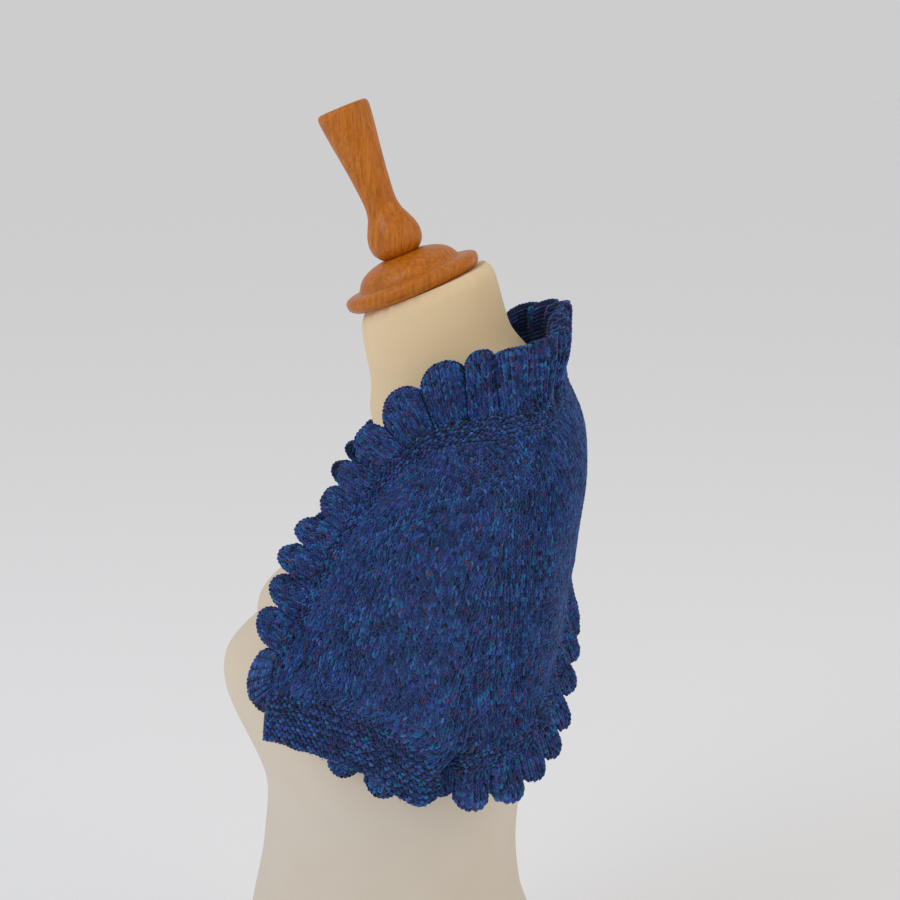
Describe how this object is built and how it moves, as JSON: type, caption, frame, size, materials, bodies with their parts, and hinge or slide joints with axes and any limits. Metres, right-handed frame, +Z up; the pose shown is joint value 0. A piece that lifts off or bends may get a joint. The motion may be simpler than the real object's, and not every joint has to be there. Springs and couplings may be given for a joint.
{
  "type": "knit bolero on a limbless dress form",
  "caption": "Short-sleeved knit bolero with a petal ruffle edge and garter cuffs, worn by a limbless padded dress form with a turned wooden neck cap and handle.",
  "frame": {"origin": "on the flat base of the form, on the middle plane, under the line from the side of the waist to the neck", "axes": "+Z up, the form faces -Y, the wearer's left side is +X"},
  "size_m": [0.3694, 0.2587, 0.7829],
  "materials": {
    "tweed_knit": "matt wool tweed, hand knit",
    "jersey_cover": "matt fine jersey over padding",
    "turned_wood": "satin varnish"
  },
  "bodies": {
    "root": {"back": "tweed_knit", "sleeve_left": "tweed_knit", "sleeve_right": "tweed_knit", "cuff_left": "tweed_knit", "cuff_right": "tweed_knit", "band_neck": "tweed_knit", "band_front_left": "tweed_knit", "band_front_right": "tweed_knit", "band_under_left": "tweed_knit", "band_under_right": "tweed_knit", "band_hem": "tweed_knit", "ruffle_neck": "tweed_knit", "ruffle_front_left": "tweed_knit", "ruffle_front_right": "tweed_knit", "ruffle_under_left": "tweed_knit", "ruffle_under_right": "tweed_knit", "ruffle_hem": "tweed_knit", "form_torso": "jersey_cover", "neck_cap": "turned_wood", "neck_handle": "turned_wood"}
  },
  "joints": []
}
